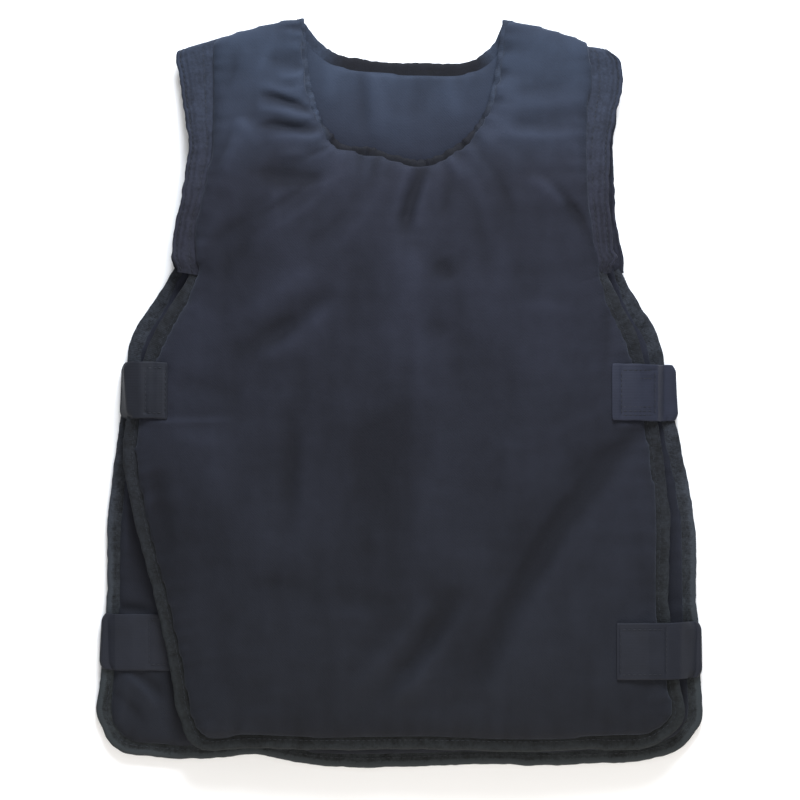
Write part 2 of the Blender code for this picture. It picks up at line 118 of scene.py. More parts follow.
# Folds of the front's cloth: start, end, bow to the left of the chord, width and height. Their
# heights also colour the cloth, ridges paler and valleys darker, as painted light and shade
FRONT_FOLDS = (
    (-118, 258, -74, 236, 4, 4, 1.8), (-118, 250, -68, 226, 5, 3.5, -3.6),
    (-122, 238, -66, 221, 4, 4, 2.4), (-120, 224, -70, 216, 3, 3.5, -3.4),
    (-114, 212, -58, 208, 3, 5, 2.6), (-80, 198, -56, 208, -2, 2.5, -1.8),
    (-104, 198, -62, 197, 2, 4, 1.0), (-120, 184, -64, 182, -4, 9, -3.2),
    (-140, 228, -118, 204, 3, 7, 1.6), (-92, 170, -44, 182, -4, 5, 1.0),
    (-72, 262, -104, 268, 3, 4, 1.2), (-74, 276, -120, 286, 3, 6, -1.4),
    (-110, 296, -126, 262, 3, 6, 1.2), (-138, 290, -148, 250, 2, 5, -1.2),
    (-48, 184, -120, 128, 6, 5, 1.2), (-60, 190, -134, 140, 5, 4, -1.2),
    (-30, 176, -84, 118, 6, 6, -1.0), (-12, 180, -60, 112, 6, 6, 1.0),
    (50, 196, 74, 128, 5, 6, 1.2), (64, 206, 98, 136, 6, 5, -1.2), (58, 180, 70, 96, 4, 7, -0.8),
    (-131, 232, -152, 186, 2, 6, 2.4), (-139, 226, -160, 180, 2, 5, -1.6),
    (-108, 166, -168, 118, 4, 8, -2.0), (-96, 170, -160, 122, 3, 6, 1.2),
    (-150, 150, -176, 112, 2, 6, 1.2), (-122, 140, -150, 96, 3, 8, -1.0),
    (-56, 90, -122, 38, 5, 10, -2.2), (-50, 78, -118, 26, 6, 9, 1.6),
    (-66, 110, -140, 60, 4, 9, 1.2), (-90, 60, -160, 20, 3, 12, -0.8),
    (23, 189, 4, 128, -3, 6, -3.0), (32, 192, 16, 132, -3, 5, 1.8),
    (12, 192, -6, 134, -3, 5, 1.6), (42, 186, 34, 140, 2, 6, -1.4),
    (12, 122, 8, 60, 0, 9, 1.8), (34, 110, 44, 92, 0, 9, -2.0), (22, 60, 40, 44, 2, 12, -1.4),
    (82, 214, 172, 8, 40, 4.5, -1.6), (92, 206, 178, 16, 38, 5, 1.2),
    (110, 178, 140, 153, 3, 6, 2.0), (128, 176, 158, 130, 3, 6, -1.2),
    (68, 228, 160, 234, -5, 6, -0.6), (74, 240, 160, 248, -4, 6, 0.8),
    (76, 218, 156, 216, -3, 5, 1.6), (84, 252, 150, 264, -3, 7, -1.0),
    (150, 214, 178, 150, 4, 5, -1.2), (96, 70, 150, 66, 2, 6, 0.9),
    (206, -30, 60, -254, -14, 14, -2.0), (196, -24, 52, -240, -14, 8, 0.9),
    (218, -40, 76, -262, -12, 9, 1.1), (52, -166, -22, -262, 5, 10, -2.0),
    (62, -176, -10, -268, 5, 8, 1.4), (28, -172, -44, -256, 5, 8, 1.0),
    (208, -32, 138, -66, 6, 10, -1.6), (190, -14, 120, -46, -5, 7, 0.8),
    (180, -60, 110, -130, -6, 10, -0.9),
    (-93, -6, -94, -134, 3, 10, -1.6), (-80, -20, -84, -120, 2, 9, 1.0),
    (-206, -64, -196, -145, 0, 9, -2.0), (-216, -76, -208, -140, 0, 7, 1.2),
    (-150, -30, -160, -110, 3, 12, 0.9), (-140, -160, -60, -176, 5, 10, -0.9),
    (-60, -190, -20, -196, 3, 8, 0.8), (80, -48, 112, -50, 2, 5, 0.7),
    (-196, 6, -130, -6, 4, 8, -1.0), (-198, -26, -150, -48, -4, 9, 1.2),
    (-40, -40, -10, -100, 3, 14, -0.8), (40, -20, 30, -110, 3, 14, 0.8),
    (150, -160, 160, -220, 2, 12, 0.8), (200, -100, 206, -180, 2, 8, -1.0),
    (-216, -27, -140, -26, 0, 2.5, 1.4), (182, -30, 214, -29, 0, 2.5, 1.2),
    # The last four rows are wide and low: they paint broad patches of light where they rise and of
    # shade where they sink, more than they shape the cloth
    (0, 30, 0, -250, 0, 75, -1.1), (135, 305, 135, 225, 0, 30, 0.8),
    (-128, 180, -128, 90, 0, 28, -0.4), (150, 50, 165, -170, 0, 35, -0.6),
)

# Folds of the back's cloth where it shows: inside the neck and beside the front. Their heights also
# colour the cloth, ridges paler and valleys darker, as painted light and shade
BACK_FOLDS = (
    (-34, 276, -30, 218, 2, 7, -1.6), (-22, 274, -18, 214, 1, 7, 1.2),
    (20, 276, 10, 226, 2, 9, -1.0), (44, 272, 50, 226, -2, 8, 1.2), (-60, 280, -58, 240, 0, 7, 1.2),
    (-236, -242, -206, -272, 3, 4, 2.4), (-242, -258, -214, -288, 3, 5, -1.8),
    (-226, -240, -198, -262, 2, 5, -1.6), (-232, -246, -240, -286, 2, 4, 1.0),
    (-252, -185, -208, -186, 0, 4, -2.2), (-203, -150, -184, -300, 0, 4, -1.6),
    (230, -50, 243, -190, 3, 2.5, 1.6), (226, -40, 238, -120, 3, 2.5, -1.2),
    (246, -250, 246, -290, 3, 3, 1.2), (-228, -60, -232, -150, -2, 3, 1.4),
    # The last two rows are wide and low: they paint light inside the neck and on the left wing,
    # more than they shape the cloth
    (0, 300, 0, 170, 0, 60, 1.0), (-235, -190, -215, -300, 0, 25, 0.8),
)

# Webbing straps: middle level, the stitched box's two ends, whether more rows fill it, how far each
# corner of the outer end is moved in metres to stand the end upright, and how much paler and bluer
# the strap is drawn
STRAPS = {
    "upper_left_strap": (0, -214, -197, False, 0.002, 0.0),
    "upper_right_strap": (-2, 188, 217, True, 0.0035, 0.9),
    "lower_left_strap": (-214, -212, -197, False, 0.0008, 0.1),
    "lower_right_strap": (-221, 187, 226, False, 0.0008, 0.1),
}

# Lights: name, place, what they shine on, width, power and colour
LIGHTS = (
    ("neck_light", (0.15, 1.25, 0.80), (0.05, 0.15, 0.0), 0.8, 42.5, (0.85, 0.91, 1.0)),
    ("high_light", (0.15, -0.3, 2.6), (0.0, 0.0, 0.0), 1.6, 21.5, (1.0, 0.98, 0.95)),
    ("hem_light", (0.1, -1.3, 0.5), (0.0, -0.3, 0.0), 0.9, 10.5, (1.0, 0.92, 0.82)),
)


def linear(hex_colour):
    """Linear RGBA of an sRGB hex colour."""
    channels = [int(hex_colour[i:i + 2], 16) / 255.0 for i in (0, 2, 4)]
    return [c / 12.92 if c <= 0.04045 else ((c + 0.055) / 1.055) ** 2.4 for c in channels] + [1.0]


def colour_property(name, description, hex_colour):
    return bpy.props.FloatVectorProperty(
        name=name, description=description, default=linear(hex_colour), size=4, min=0.0, max=1.0,
        subtype="COLOR",
    )


def length_property(name, description, default, least, most):
    return bpy.props.FloatProperty(
        name=name, description=description, default=default, min=least, max=most,
        unit="LENGTH", precision=4,
    )


class VEST_PG_colours(bpy.types.PropertyGroup):
    """Colours of the vest's cloths, tapes and threads."""

    cover: colour_property("Cover", "Twill of both panels", "12131B")
    # The paler twill: mixed in by random wear, and by relief as painted light on ridges and painted
    # shade in valleys
    wear_and_painted_light: colour_property("Worn cover", "Twill where it is rubbed", "20222D")
    # Painted light: the cover is drawn paler and bluer towards the shoulders, where the light falls
    paler_and_painted_light: colour_property("Faded cover", "Twill where light has faded it", "242B38")
    # Painted shade: the cover is drawn darker and greyer towards the hem, away from the light
    hem_shade: colour_property("Dusty cover", "Twill near the hem, greyed by dust", "16181E")
    binding: colour_property("Binding", "Tape round the sides and hem", "14161A")
    # Painted shade: the neck tape is drawn nearly black, standing for the shadow under the front's
    # edge
    neck: colour_property("Neck binding", "Gathered tape round the neck", "0C0D14")
    band: colour_property("Armhole band", "Turned cloth round the armholes", "1D1E28")
    webbing: colour_property("Webbing", "Side straps", "1A1C23")
    thread: colour_property("Thread", "Sewing thread", "23262D")
    floor: colour_property("Floor", "Pale paper under the vest", "FBFBFB")


class VEST_PG_sizes(bpy.types.PropertyGroup):
    """Sizes of the cloth work, in metres."""

    voxel: length_property("Remesh size", "Grain of the padded panels", 0.0048, 0.003, 0.01)
    slack: length_property("Slack", "How much smaller a pad starts", 0.0004, 0.0, 0.002)
    swell: length_property("Swelling", "Most that filling moves the cover", 0.003, 0.0, 0.01)
    strip_step: length_property("Strip step", "Spacing along strips", 0.0018, 0.001, 0.01)
    tuck: length_property("Tuck", "How far strips reach into the pads", 0.005, 0.0, 0.008)
    gather: length_property("Gather", "Spacing of the neck's gathers", 0.0085, 0.004, 0.02)
    stitch: length_property("Stitch", "Length of one stitch", 0.0034, 0.002, 0.006)
    thread: length_property("Thread", "Thickness of the thread", 0.0007, 0.0003, 0.0015)
    pressure: bpy.props.FloatProperty(
        name="Filling pressure", description="Push of the filling on the cover", default=4.0,
        min=0.0, max=20.0,
    )
    lens: bpy.props.FloatProperty(
        name="Lens", description="Focal length of the camera", default=150.0, min=35.0, max=300.0,
        unit="CAMERA",
    )


def lengths_along(line):
    return np.r_[0.0, np.cumsum(np.linalg.norm(np.diff(line, axis=0), axis=1))]


def smooth_curve(points, count=None, step=None):
    """Evenly spaced points of a smooth curve through the given ones."""
    points = np.asarray(points, float)
    at = lengths_along(points)
    slopes = np.gradient(points, at, axis=0)
    t = np.linspace(0.0, 1.0, 20, endpoint=False)[:, None]
    spans = [
        points[i] * (2 * t**3 - 3 * t**2 + 1) + slopes[i] * span * (t**3 - 2 * t**2 + t)
        + points[i + 1] * (3 * t**2 - 2 * t**3) + slopes[i + 1] * span * (t**3 - t**2)
        for i, span in enumerate(np.diff(at))
    ]
    curve = np.vstack(spans + [points[-1:]])
    at = lengths_along(curve)
    even = np.linspace(0.0, at[-1], count or int(round(at[-1] / step)) + 1)
    return np.column_stack([np.interp(even, at, curve[:, k]) for k in (0, 1)])


def smoothstep(t):
    t = np.clip(t, 0.0, 1.0)
    return t * t * (3.0 - 2.0 * t)


def left_normals(curve):
    along = np.gradient(curve, axis=0)
    along /= np.linalg.norm(along, axis=1)[:, None]
    return np.column_stack([-along[:, 1], along[:, 0]])


def bound_edge(points, width, tip):
    """The outer and inner edges of a binding that narrows at both ends."""
    outer = smooth_curve(points, step=bpy.context.scene.vest_sizes.strip_step / MM)
    at = lengths_along(outer)
    widths = tip + (width - tip) * smoothstep(np.minimum(at, at[-1] - at) / 30.0)
    return outer, outer + left_normals(outer) * widths[:, None]


def neck_edge(panel):
    return bound_edge(NECKLINES[panel], 8.0, 4.0)


def lower_edge(panel):
    left, right = (1, 2) if panel == "back" else (3, 4)
    down = SIDES[:, (left, 0)]
    up = SIDES[::-1, (right, 0)]
    return bound_edge(np.vstack([down, HEMS[panel], up]), 9.0, 3.0)


def armhole_edge(panel, side):
    """Outer and inner edges of an armhole band, from the underarm up to the shoulder."""
    column = 1 + 2 * (panel == "front") + (side == "right")
    inward, drop = (1.0, 5.0) if side == "left" else (-1.0, 9.0)
    outer = ARMHOLES[:, (column, 0)]
    inner = outer + np.array((inward, 0.0)) * ARMHOLES[:, (5 if side == "left" else 6,)]
    reach = (abs(inner[-1, 0]) - 85.0) / 103.0
    inner[-1, 1] = 317.5 - 29.0 * reach**1.35 - drop
    inner[0, 1] -= 8.0
    outer[0, 1] -= 5.0
    count = int(round(180.0 / (bpy.context.scene.vest_sizes.strip_step / MM)))
    return smooth_curve(outer, count=count), smooth_curve(inner, count=count)


def table_shift():
    """Where the tables' origin lies in the frame, in metres."""
    outer = lower_edge("back")[0]
    low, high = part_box("back_edge_binding")
    return np.array((low.x, low.y)) - outer.min(axis=0) * MM


def in_frame(curve):
    return curve * MM + table_shift()


def coordinates(mesh):
    points = np.empty(len(mesh.vertices) * 3, np.float32)
    mesh.vertices.foreach_get("co", points)
    return points.reshape(-1, 3).astype(float)


def normals(mesh):
    values = np.empty(len(mesh.vertices) * 3, np.float32)
    mesh.vertex_normals.foreach_get("vector", values)
    return values.reshape(-1, 3).astype(float)


def place(mesh, points):
    mesh.vertices.foreach_set("co", np.ascontiguousarray(points, np.float32).ravel())
    mesh.update()


def plan_tree(line):
    """A tree that finds the nearest of a line's points, seen from above."""
    tree = kdtree.KDTree(len(line))
    for i, (x, y) in enumerate(line):
        tree.insert((x, y, 0.0), i)
    tree.balance()
    return tree


def node_tree(*names):
    """One tree for casting rays on frame nodes or finished pieces."""
    points, faces = [], []
    for name in names:
        mesh = bpy.data.objects[name].data
        first = len(points)
        points += [v.co.copy() for v in mesh.vertices]
        faces += [tuple(first + i for i in face.vertices) for face in mesh.polygons]
    return BVHTree.FromPolygons(points, faces)


def cast(tree, points, start, way):
    """Heights where vertical rays from the start height meet the tree, or nan."""
    direction = Vector((0.0, 0.0, way))
    hits = [tree.ray_cast(Vector((x, y, start)), direction)[0] for x, y in points[:, :2]]
    return np.array([np.nan if hit is None else hit.z for hit in hits])


def waves(values, size, seed):
    """Smooth noise along a line, with bumps of about the given size."""
    return np.array([noise.noise(Vector((v / size, seed, 0.5))) for v in values])


def cloud(points, wide, long, seed):
    """Smooth noise over the plan, with bumps of about the given width and length."""
    return np.array([noise.noise(Vector((x / wide, y / long, seed))) for x, y in points[:, :2]])


def activate(piece):
    bpy.ops.object.select_all(action="DESELECT")
    piece.select_set(True)
    bpy.context.view_layer.objects.active = piece


def apply_modifier(piece, kind, **settings):
    activate(piece)
    bpy.ops.object.modifier_add(type=kind)
    modifier = piece.modifiers[-1]
    for key, value in settings.items():
        setattr(modifier, key, value)
    bpy.ops.object.modifier_apply(modifier=modifier.name)


@contextmanager
def editing(piece):
    """Edit mode with all of one piece selected."""
    activate(piece)
    bpy.ops.object.mode_set(mode="EDIT")
    bpy.ops.mesh.select_all(action="SELECT")
    yield
    bpy.ops.object.mode_set(mode="OBJECT")


def copy_of(node, name):
    """A merged copy of a frame node as a piece of its own."""
    piece = bpy.data.objects.new(name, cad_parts[node].data.copy())
    piece.data.name = name
    piece.data.materials.clear()
    bpy.context.collection.objects.link(piece)
    with editing(piece):
        bpy.ops.mesh.remove_doubles(threshold=1e-6)
    bpy.ops.mesh.customdata_custom_splitnormals_clear()
    return piece


def finish_piece(piece, node):
    activate(piece)
    bpy.ops.object.shade_smooth_by_angle(angle=math.radians(60.0))
    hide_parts(node)
    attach(piece, "root")


# Cloth work


def fold_relief(points, folds):
    """Rise over ridges and valleys, in millimetres of the tables' plan."""
    relief = np.zeros(len(points))
    for x0, y0, x1, y1, bow, width, height in folds:
        start, end = np.array((x0, y0), float), np.array((x1, y1), float)
        chord = (end - start) / np.linalg.norm(end - start)
        control = (start + end) / 2.0 + 2.0 * bow * np.array((-chord[1], chord[0]))
        t = np.linspace(0.0, 1.0, 48)[:, None]
        line = (1 - t) ** 2 * start + 2 * t * (1 - t) * control + t**2 * end
        low, high = line.min(axis=0) - 3.0 * width, line.max(axis=0) + 3.0 * width
        near = np.flatnonzero(((points > low) & (points < high)).all(axis=1))
        if not len(near):
            continue
        away = np.linalg.norm(points[near, None, :] - line[None, :, :], axis=2)
        fade = np.sin(np.pi * (away.argmin(axis=1) + 0.5) / 48.0) ** 0.7
        relief[near] += height * fade * np.exp(-((away.min(axis=1) / width) ** 1.7))
    return relief


def seam_line(panel):
    """Points along a panel's sewn edge, in the frame, with their distance along it."""
    runs = [
        neck_edge(panel)[1], lower_edge(panel)[1],
        armhole_edge(panel, "left")[1], armhole_edge(panel, "right")[1],
    ]
    line = np.vstack([in_frame(run) for run in runs])
    gaps = np.linalg.norm(np.diff(line, axis=0, prepend=line[:1]), axis=1)
    return line, np.cumsum(gaps)


def seam_distance(points, panel):
    """Distance of each point from the panel's sewn edge, and how far along it that lies."""
    line, at = seam_line(panel)
    tree = plan_tree(line)
    found = [tree.find((x, y, 0.0)) for x, y in points[:, :2]]
    return np.array([f[2] for f in found]), at[[f[1] for f in found]]


def fill_pad(piece, panel, headroom):
    """Remeshes a pad and lets its filling swell it, held at its seams and capped."""
    sizes = bpy.context.scene.vest_sizes
    apply_modifier(piece, "DISPLACE", strength=-sizes.slack, mid_level=0.0)
    apply_modifier(piece, "REMESH", mode="VOXEL", voxel_size=sizes.voxel)
    start = coordinates(piece.data)
    seam = piece.vertex_groups.new(name="seam")
    held = np.flatnonzero(seam_distance(start, panel)[0] < HELD)
    seam.add(held.tolist(), 1.0, "REPLACE")
    activate(piece)
    bpy.ops.object.modifier_add(type="CLOTH")
    cloth = piece.modifiers[-1]
    cloth.settings.use_pressure = True
    cloth.settings.uniform_pressure_force = sizes.pressure
    cloth.settings.effector_weights.gravity = 0.0
    cloth.settings.vertex_group_mass = "seam"
    cloth.settings.quality = 4
    cloth.point_cache.frame_end = FILL_FRAMES
    for number in range(1, FILL_FRAMES + 1):
        bpy.context.scene.frame_set(number)
    bpy.ops.object.modifier_apply(modifier=cloth.name)
    moved = coordinates(piece.data) - start
    far = np.linalg.norm(moved, axis=1)
    moved *= (np.minimum(far, sizes.swell) / np.maximum(far, 1e-9))[:, None]
    moved[:, 2] = np.clip(moved[:, 2], 0.0, headroom(start))
    place(piece.data, start + moved)
    bpy.context.scene.frame_set(1)
    piece.vertex_groups.clear()
    apply_modifier(piece, "SMOOTH", factor=0.5, iterations=3)
    apply_modifier(piece, "SUBSURF", levels=1, render_levels=1)


def crumple(points, height):
    """Soft hollows, thin crossing wrinkles and fine crumples of washed cotton twill."""
    soft = cloud(points, 0.055, 0.085, 3.0) * 1.6
    upright = cloud(points, 0.011, 0.070, 9.0)
    level = cloud(points, 0.060, 0.012, 17.0)
    lines = 1.0 - np.minimum(np.abs(cloud(points, 0.024, 0.060, 29.0)) / 0.11, 1.0)
    small = cloud(points, 0.013, 0.020, 21.0)
    fine = cloud(points, 0.006, 0.009, 5.0)
    return height * (soft + 0.35 * upright + 0.3 * level + 0.2 * lines + 0.35 * small + 0.2 * fine)


def pad_layout(piece, panel):
    """A pad's points, how far each faces up, its seam distance and place along it, and its plan."""
    points = coordinates(piece.data)
    up = np.clip(normals(piece.data)[:, 2] * 1.6 - 0.3, 0.0, 1.0)
    return points, up, *seam_distance(points, panel), (points[:, :2] - table_shift()) / MM


def write_values(piece, name, values):
    """Stores a number between -1 and 1 at each point, for the piece's material to read."""
    attribute = piece.data.attributes.new(name, "FLOAT", "POINT")
    attribute.data.foreach_set("value", np.clip(values, -1.0, 1.0).astype(np.float32))


def cover_pad(context, piece, points, relief):
    """Puts a pad's points in place, and has its material draw ridges paler and valleys darker, as
    painted light and shade.
    """
    place(piece.data, points)
    write_values(piece, "relief", relief / 3.0)
    piece.data.materials.append(cover_twill(context))


class VEST_OT_front_panel(bpy.types.Operator):
    """Pads the front: filled, folded, gathered at its seams and pressed under its straps"""

    bl_idname = "vest.front_panel"
    bl_label = "Front panel"

    def execute(self, context):
        piece = copy_of("front_panel", "front_cover")
        fill_pad(piece, "front", lambda points: np.full(len(points), 0.004))
        points, up, distance, along, plan = pad_layout(piece, "front")
        at_neck = smoothstep((plan[:, 1] - 150.0) / 30.0)
        at_neck *= smoothstep((105.0 - np.abs(plan[:, 0])) / 15.0)
        pucker = waves(along, 0.0075, 2.0) * np.exp(-distance / 0.013) * (0.9 + 1.3 * at_neck)
        relief = fold_relief(plan, FRONT_FOLDS) * smoothstep(distance / HELD)
        relief += crumple(points, 0.95) * smoothstep(distance / 0.012) + 1.5 * pucker
        points[:, 2] += relief * MM * up
        roll_over_binding(points)
        press_under_straps(points, up)
        cover_pad(context, piece, points, relief * up)
        finish_piece(piece, "front_panel")
        return {"FINISHED"}


def roll_over_binding(points):
    """Draws the front's edge at the neck out over its binding, which shows as a narrow line."""
    outer, inner = (in_frame(edge) for edge in neck_edge("front"))
    tree = plan_tree(inner)
    rolled = 0.016
    for k in np.flatnonzero(points[:, 1] > inner[:, 1].min() - 0.02):
        _, i, away = tree.find((points[k, 0], points[k, 1], 0.0))
        if away < rolled:
            share = 0.85 - 0.35 * smoothstep((0.072 - abs(inner[i, 0])) / 0.014)
            points[k, :2] += (outer[i] - inner[i]) * share * (1.0 - away / rolled) ** 1.5


def press_under_straps(points, up):
    """Lowers the cover where the webbing lies on it, and lets it rise again beside it."""
    tree = node_tree("upper_left_strap", "upper_right_strap", "lower_right_strap")
    top = np.flatnonzero(up > 0.3)
    side = top[np.abs(points[top, 0]) > 0.16]
    for reach, drop in ((0.0, 0.0), (0.002, 0.0004), (0.004, 0.0012), (0.0065, 0.0028)):
        for dx, dy in ((1, 0), (-1, 0), (0, 1), (0, -1)):
            moved = points[side, :2] + np.array((dx, dy)) * reach
            limit = cast(tree, moved, 0.1, -1.0) - WEBBING + drop
            lower = (limit < points[side, 2]) & (limit > points[side, 2] - 0.008)
            points[side[lower], 2] = limit[lower]


class VEST_OT_back_panel(bpy.types.Operator):
    """Pads the back: lining face inside the neck, wings beside the front and a flat underside"""

    bl_idname = "vest.back_panel"
    bl_label = "Back panel"

    def execute(self, context):
        piece = copy_of("back_panel", "back_cover")
        over = node_tree("front_panel", "front_edge_binding")
        most = 0.0025

        def headroom(points):
            height = cast(over, points, 0.0118, 1.0)
            room = np.where(np.isfinite(height), (height - 0.0125) * 0.4, most)
            return np.clip(room, 0.0, most)

        fill_pad(piece, "back", headroom)
        points, up, distance, along, plan = pad_layout(piece, "back")
        pucker = waves(along, 0.008, 4.0) * np.exp(-distance / 0.012)
        relief = fold_relief(plan, BACK_FOLDS) * smoothstep(distance / HELD)
        relief += crumple(points, 0.6) * smoothstep(distance / 0.01) + pucker
        room = headroom(points) / most
        points[:, 2] += np.where(relief > 0.0, relief * room, relief) * MM * up
        points[:, 2] = np.maximum(points[:, 2], 0.0)
        cover_pad(context, piece, points, relief * up)
        finish_piece(piece, "back_panel")
        return {"FINISHED"}


# Strips: tapes and turned bands that follow an edge


def strip_run(node, edges, upward):
    """A strip's edges at the height of its frame node, with its normals.

    A run that faces down is followed the other way round.
    """
    tree = node_tree(node)
    low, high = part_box(node)
    way = -1.0 if upward else 1.0
    start = high.z + 0.01 if upward else low.z - 0.01
    outer, inner = (in_frame(edge if upward else edge[::-1]) for edge in edges)
    height = cast(tree, (outer + inner) / 2.0, start, way) + way * 0.002
    known = np.isfinite(height)
    at = np.arange(len(height))
    height = np.interp(at, at[known], height[known])
    tuck = inner - outer
    tuck *= bpy.context.scene.vest_sizes.tuck / np.linalg.norm(tuck, axis=1)[:, None]
    normal = np.tile((0.0, 0.0, -way), (len(outer), 1))
    return np.column_stack([outer, height]), np.column_stack([inner + tuck, height]), normal


def shoulder_turn(before, after):
    """The strip's half turn over the shoulder, from the end of one run to the start of the next."""
    outer, inner, normal = [], [], []
    for angle in np.linspace(0.0, np.pi, 13)[1:-1]:
        share = (1.0 - np.cos(angle)) / 2.0
        reach = NECKWARD * abs(before[0][-1, 2] - after[0][0, 2]) / 2.0 * np.sin(angle)
        ends = [before[k][-1] + (after[k][0] - before[k][-1]) * share + reach for k in (0, 1)]
        outer.append(ends[0])
        inner.append(ends[1] + (ends[1] - ends[0]) * 0.12 * np.sin(angle))
        normal.append(before[2][-1] * np.cos(angle) + NECKWARD * np.sin(angle))
    return np.array(outer), np.array(inner), np.array(normal)


def joined(runs):
    """One strip through several runs, with its length along its middle."""
    outer, inner, normal = (np.vstack([run[k] for run in runs]) for k in range(3))
    return outer, inner, normal, lengths_along((outer + inner) / 2.0)


def pulled(strip, pull):
    """The strip with its outer edge drawn in by a share of its width."""
    outer, inner, normal, at = strip
    return outer + (inner - outer) * pull[:, None], inner, normal, at


def tape_section(count, fold):
    """Points across a folded tape: over its top, round its fold and back under it."""
    share = np.linspace(1.0, 0.0, count) ** 1.25
    height = np.sqrt(1.0 - (1.0 - np.clip(share / fold, 0.0, 1.0)) ** 2)
    top = np.column_stack([share, height])
    under = np.column_stack([share[-2::-1], -height[-2::-1]])
    return np.vstack([top, under, top[:1]])


def build_strip(name, strip, section, thickness, lift, plump, ring):
    """A closed strip of cloth, lifted and plumped along its length."""
    outer, inner, normal, at = strip
    across = inner - outer
    share, side = section[:, 0], section[:, 1]
    rise = side[None, :] * thickness / 2.0 * plump + lift
    # The material draws thinner parts darker and plumper ones paler from this relief, as painted
    # shade and light
    relief = np.broadcast_to(plump / plump.mean() - 1.0, rise.shape)
    points = outer[:, None, :] + across[:, None, :] * share[None, :, None]
    points = points + normal[:, None, :] * rise[:, :, None]
    uv = np.empty(points.shape[:2] + (2,))
    uv[:, :, 0] = at[:, None]
    uv[:, :, 1] = share[None, :] * np.linalg.norm(across, axis=1)[:, None]
    if ring:
        closing = at[-1] + np.linalg.norm(outer[-1] - outer[0])
        points = np.concatenate([points, points[:1]])
        uv = np.concatenate([uv, uv[:1] + ((closing, 0.0),)])
        relief = np.concatenate([relief, relief[:1]])
    rows, columns = points.shape[:2]
    bpy.ops.object.select_all(action="DESELECT")
    bpy.ops.mesh.primitive_grid_add(x_subdivisions=columns - 1, y_subdivisions=rows - 1)
    piece = bpy.context.object
    piece.name = piece.data.name = name
    place(piece.data, points.reshape(-1, 3))
    write_values(piece, "relief", relief.ravel())
    corner = np.empty(len(piece.data.loops), np.int32)
    piece.data.loops.foreach_get("vertex_index", corner)
    piece.data.uv_layers.active.data.foreach_set(
        "uv", uv.reshape(-1, 2)[corner].astype(np.float32).ravel()
    )
    with editing(piece):
        bpy.ops.mesh.remove_doubles(threshold=1e-5)
        if not ring:
            bpy.ops.mesh.fill_holes(sides=0)
        bpy.ops.mesh.normals_make_consistent(inside=False)
    return piece


def row_on(strip, share, height, lift):
    """A line along a strip's upper face, for stitches, with its normals."""
    outer, inner, normal, _ = strip
    share = np.broadcast_to(share, len(outer))[:, None]
    return outer + (inner - outer) * share + normal * (height + lift)[:, None], normal


def sew(context, piece, rows):
    """Lays raised stitches along rows of points and joins them to the piece."""
    sizes = context.scene.vest_sizes
    bpy.ops.object.select_all(action="DESELECT")
    bpy.ops.mesh.primitive_uv_sphere_add(segments=6, ring_count=4, radius=0.5)
    pattern = bpy.context.object
    shape = coordinates(pattern.data)[:, (2, 0, 1)] * (sizes.stitch, sizes.thread, sizes.thread)
    pattern_faces = [tuple(face.vertices) for face in pattern.data.polygons]
    bpy.data.objects.remove(pattern)
    points, faces = [], []
    for line, up in rows:
        at = lengths_along(line)
        for middle in np.arange(sizes.stitch, at[-1] - sizes.stitch / 2.0, sizes.stitch * 1.3):
            before, centre, after = (
                np.array([np.interp(m, at, line[:, k]) for k in range(3)])
                for m in (middle - MM, middle, middle + MM)
            )
            out = np.array([np.interp(middle, at, up[:, k]) for k in range(3)])
            along = (after - before) / np.linalg.norm(after - before)
            side = np.cross(out, along)
            side /= np.linalg.norm(side)
            faces += [tuple(len(points) + i for i in face) for face in pattern_faces]
            points += list(centre + shape @ np.array((along, side, np.cross(along, side))))
    mesh = bpy.data.meshes.new("stitches")
    mesh.from_pydata(points, [], faces)
    mesh.materials.append(sewing_thread(context))
    stitches = bpy.data.objects.new("stitches", mesh)
    bpy.context.collection.objects.link(stitches)
    with editing(stitches):
        bpy.ops.mesh.normals_make_consistent(inside=False)
    activate(piece)
    stitches.select_set(True)
    bpy.ops.object.join()


class VEST_OT_neck_binding(bpy.types.Operator):
    """Binds the neck with a gathered tape that ripples between its gathers"""

    bl_idname = "vest.neck_binding"
    bl_label = "Neck binding"

    def execute(self, context):
        sizes = context.scene.vest_sizes
        front = strip_run("neck_binding", neck_edge("front"), True)
        back = strip_run("neck_binding", neck_edge("back"), False)
        strip = joined([front, shoulder_turn(front, back), back, shoulder_turn(back, front)])
        at = strip[3]
        plan_x = np.abs((strip[0][:, 0] - table_shift()[0]) / MM)
        low_front = (np.arange(len(at)) < len(front[0])) * smoothstep((76.0 - plan_x) / 14.0)
        phase = np.pi * at / sizes.gather + 2.6 * waves(at, 0.02, 1.0)
        beads = np.abs(np.sin(phase)) * (0.75 + 0.5 * waves(at, 0.012, 3.0))
        size = 0.3 + 0.7 * low_front
        section = tape_section(11, 0.35)
        sway = (np.sin(phase * 0.5 + 0.6) * 0.0009 * size)[:, None] * (1.3 - section[None, :, 0])
        strip = pulled(strip, 0.16 * size * (1.0 - beads) + 0.05 * waves(at, 0.006, 7.0))
        plump = (0.62 + 0.5 * beads * size + 0.12 * waves(at, 0.004, 8.0))[:, None]
        piece = build_strip("neck_tape", strip, section, 0.0044, sway, plump, True)
        piece.data.materials.append(gathered_tape(context))
        sew(context, piece, [row_on(strip, 0.62, 0.0019, 0.0005 * np.sin(phase * 0.5) * size)])
        finish_piece(piece, "neck_binding")
        return {"FINISHED"}


